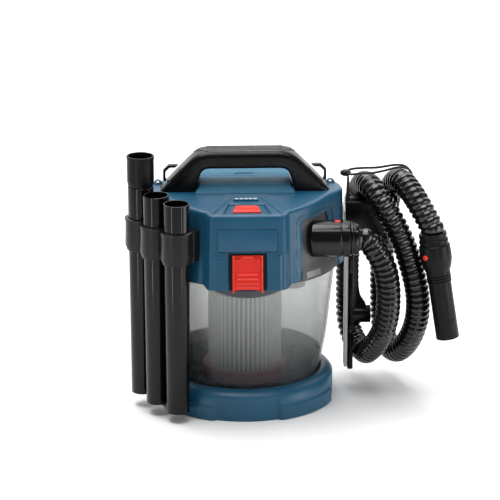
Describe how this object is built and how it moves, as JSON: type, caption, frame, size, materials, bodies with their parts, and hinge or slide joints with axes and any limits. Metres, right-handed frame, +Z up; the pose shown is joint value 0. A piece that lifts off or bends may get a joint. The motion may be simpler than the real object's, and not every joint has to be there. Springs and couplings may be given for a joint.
{
  "type": "shop vacuum",
  "caption": "Cordless wet and dry shop vacuum: clear tank on a round base, lift-off motor head with handle, latches, hose with grip, wands and floor nozzle stored outside.",
  "frame": {"origin": "middle of the base's flat underside", "axes": "+Z up, -Y towards the front with the latch and power button, +X towards the hose port"},
  "size_m": [0.5151, 0.3029, 0.402],
  "materials": {
    "blue_shell": "moulded blue shell, satin, lighter where it catches light",
    "red_control": "red moulded controls, satin gloss",
    "black_shell": "black moulded plastic, soft gloss",
    "black_tube": "black extruded tube, satin",
    "soft_grip": "soft-touch black, fine grain",
    "dark_grey_panel": "dark grey moulded plastic, fine grain",
    "smoked_clear": "smoked translucent tank plastic",
    "filter_paper": "off-white pleated filter paper",
    "steel": "plain steel",
    "rubber": "black rubber",
    "felt": "pale grey felt strip",
    "circuit_board": "green board",
    "battery_case": "dark grey battery case",
    "float_white": "off-white hollow ball",
    "hose_plastic": "black corrugated hose, glossy"
  },
  "bodies": {
    "bucket": {"base_ring": "blue_shell", "tank": "smoked_clear", "tank_floor": "smoked_clear"},
    "head": {"head_shell": "blue_shell", "port_panel": "dark_grey_panel", "name_plate": "blue_shell", "charge_gauge": "dark_grey_panel", "handle": "black_shell", "grip_pad": "soft_grip", "strap_loop_left": "black_shell", "strap_loop_right": "black_shell", "handle_well_cover": "blue_shell", "battery_bay": "black_shell", "battery_pack": "battery_case", "battery_terminal": "dark_grey_panel", "motor_plate": "dark_grey_panel", "tank_seal": "rubber", "fan_housing": "black_shell", "motor": "steel", "circuit_board": "circuit_board", "filter_flange": "dark_grey_panel", "filter": "filter_paper", "float_cage": "dark_grey_panel", "inlet_stub": "black_shell", "inlet_duct": "dark_grey_panel", "hose_connector": "black_shell", "wand_clip": "black_shell", "hose_bracket": "black_shell", "strap_knob": "soft_grip", "hose": "hose_plastic", "hose_grip": "soft_grip", "hose_strap": "rubber"},
    "front_latch": {"front_latch": "red_control"},
    "rear_latch": {"rear_latch": "red_control"},
    "power_button": {"power_button": "red_control"},
    "battery_lid": {"battery_lid": "blue_shell"},
    "fan": {"fan": "steel"},
    "filter_retainer": {"filter_retainer": "red_control"},
    "float_ball": {"float_ball": "float_white"},
    "release_button": {"release_button": "red_control"},
    "grip_button": {"grip_button": "red_control"},
    "wand_1": {"wand_1": "black_tube"},
    "wand_2": {"wand_2": "black_tube"},
    "wand_3": {"wand_3": "black_tube"},
    "tool_adapter": {"tool_adapter": "soft_grip"},
    "floor_nozzle": {"floor_nozzle": "black_shell", "nozzle_felt": "felt"}
  },
  "joints": [
    {"name": "head_lift", "type": "slide", "parent": "bucket", "child": "head", "axis": [0, 0, 1], "range_m": [0, 0.2]},
    {"name": "front_latch_hinge", "type": "hinge", "parent": "head", "child": "front_latch", "pos_m": [0, -0.13829, 0.268], "axis": [-1, 0, 0], "range_deg": [0, 75]},
    {"name": "rear_latch_hinge", "type": "hinge", "parent": "head", "child": "rear_latch", "pos_m": [0, 0.13829, 0.268], "axis": [1, 0, 0], "range_deg": [0, 75]},
    {"name": "power_button_press", "type": "slide", "parent": "head", "child": "power_button", "axis": [0, 0, -1], "range_m": [0, 0.002], "stiffness_N_per_m": 900},
    {"name": "battery_lid_hinge", "type": "hinge", "parent": "head", "child": "battery_lid", "pos_m": [0, 0.1085, 0.3345], "axis": [-1, 0, 0], "range_deg": [0, 100]},
    {"name": "fan_spin", "type": "hinge", "parent": "head", "child": "fan", "pos_m": [0, 0, 0.2255], "axis": [0, 0, 1], "continuous": true},
    {"name": "filter_retainer_turn", "type": "hinge", "parent": "head", "child": "filter_retainer", "pos_m": [0, 0, 0.031], "axis": [0, 0, 1], "range_deg": [0, 90]},
    {"name": "float_rise", "type": "slide", "parent": "head", "child": "float_ball", "axis": [0, 0, 1], "range_m": [0, 0.09]},
    {"name": "release_button_press", "type": "slide", "parent": "head", "child": "release_button", "axis": [0, 0, -1], "range_m": [0, 0.0018], "stiffness_N_per_m": 600},
    {"name": "grip_button_press", "type": "slide", "parent": "head", "child": "grip_button", "axis": [0.6931, 0.7177, 0.0679], "range_m": [0, 0.0015], "stiffness_N_per_m": 600},
    {"name": "wand_1_lift", "type": "slide", "parent": "head", "child": "wand_1", "axis": [0, 0, 1], "range_m": [0, 0.3]},
    {"name": "wand_2_lift", "type": "slide", "parent": "head", "child": "wand_2", "axis": [0, 0, 1], "range_m": [0, 0.3]},
    {"name": "wand_3_lift", "type": "slide", "parent": "head", "child": "wand_3", "axis": [0, 0, 1], "range_m": [0, 0.3]},
    {"name": "tool_adapter_pull", "type": "slide", "parent": "wand_1", "child": "tool_adapter", "axis": [0, 0, 1], "range_m": [0, 0.04]},
    {"name": "floor_nozzle_drop", "type": "slide", "parent": "head", "child": "floor_nozzle", "axis": [0, 0, -1], "range_m": [0, 0.026]}
  ]
}
